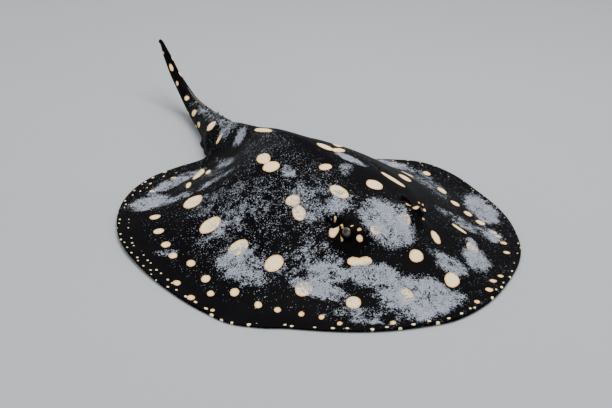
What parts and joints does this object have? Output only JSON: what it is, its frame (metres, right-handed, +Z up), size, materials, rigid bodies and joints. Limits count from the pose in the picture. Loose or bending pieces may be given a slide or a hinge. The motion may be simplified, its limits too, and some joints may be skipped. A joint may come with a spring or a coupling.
{
  "type": "freshwater stingray model",
  "caption": "Still life-size black river stingray with cream spots, lying flat, its tail gently raised behind.",
  "frame": {"origin": "on the floor under the middle of the disc, on the flat of the belly", "axes": "-Y towards the snout, +X to the animal's left, +Z up"},
  "size_m": [0.4299, 0.6864, 0.085],
  "materials": {
    "skin": "near-black wet skin with cream spots and a dusting of pale sand",
    "skin_tail": "near-black rough skin with cream spots",
    "sting": "dull horn",
    "eye": "wet and glossy"
  },
  "bodies": {
    "root": {"head": "skin", "trunk": "skin", "pectoral_fin_left": "skin", "pectoral_fin_right": "skin", "pelvic_fin_left": "skin", "pelvic_fin_right": "skin", "tail_root": "skin_tail", "tail_middle": "skin_tail", "tail_tip": "skin_tail", "tail_fold_upper": "skin_tail", "tail_fold_lower": "skin_tail", "sting": "sting", "eye_left": "eye", "eye_right": "eye"}
  },
  "joints": []
}
